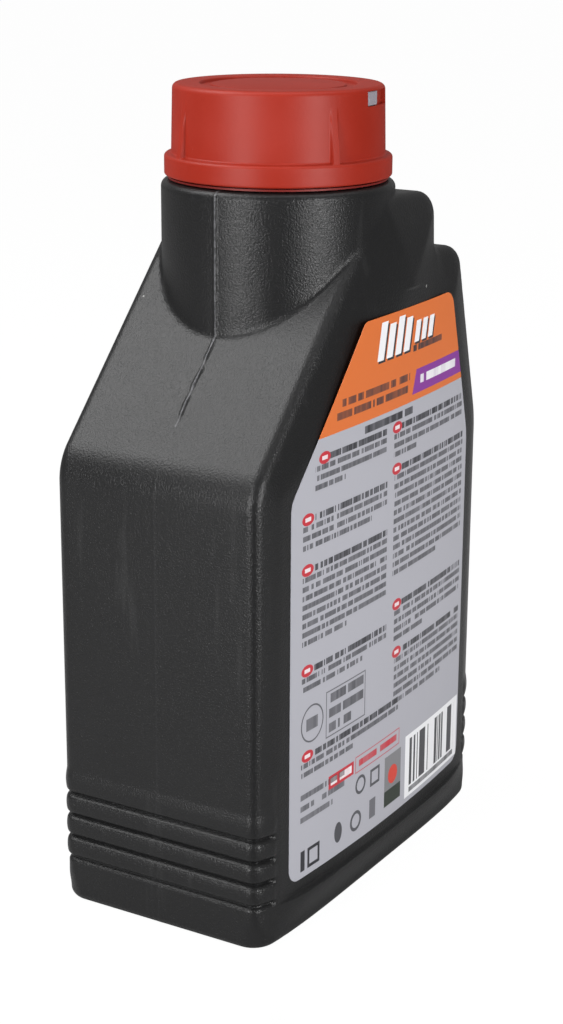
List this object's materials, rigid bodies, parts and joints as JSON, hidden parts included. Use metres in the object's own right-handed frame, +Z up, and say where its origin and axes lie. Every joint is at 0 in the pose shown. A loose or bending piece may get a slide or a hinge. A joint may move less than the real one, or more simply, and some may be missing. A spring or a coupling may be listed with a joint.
{
  "type": "fork oil bottle",
  "caption": "Blow-moulded black plastic oil bottle with a sloping shoulder, grip grooves, shallow label panels and a red screw cap that turns and lifts.",
  "frame": {"origin": "middle of the flat base that the bottle stands on", "axes": "+Z up through the neck, the wide side with the back label faces -Y, the narrow side under the long slope faces -X"},
  "size_m": [0.1152, 0.0676, 0.2039],
  "materials": {
    "black_bottle": "fine satin grain",
    "dark_red_ring": "satin",
    "label_film": "printed satin film",
    "red_cap": "satin",
    "grey_cap": "satin",
    "white_wad": "matt foam"
  },
  "bodies": {
    "bottle": {"bottle_body": "black_bottle", "tamper_ring": "dark_red_ring", "back_label": "label_film", "front_label": "label_film"},
    "cap_seal": {"sealing_wad": "white_wad"},
    "cap": {"outer_cap": "red_cap", "inner_cap": "grey_cap"}
  },
  "joints": [
    {"name": "cap_lift", "type": "slide", "parent": "bottle", "child": "cap_seal", "axis": [0, 0, 1], "range_m": [0, 0.0125]},
    {"name": "cap_turn", "type": "hinge", "parent": "cap_seal", "child": "cap", "pos_m": [-0.0012, 0, 0.19], "axis": [0, 0, 1], "range_deg": [0, 720]}
  ],
  "couplings": [
    {"joint": "cap_lift", "follows": "cap_turn", "m_per_rad": 0.00095493}
  ]
}
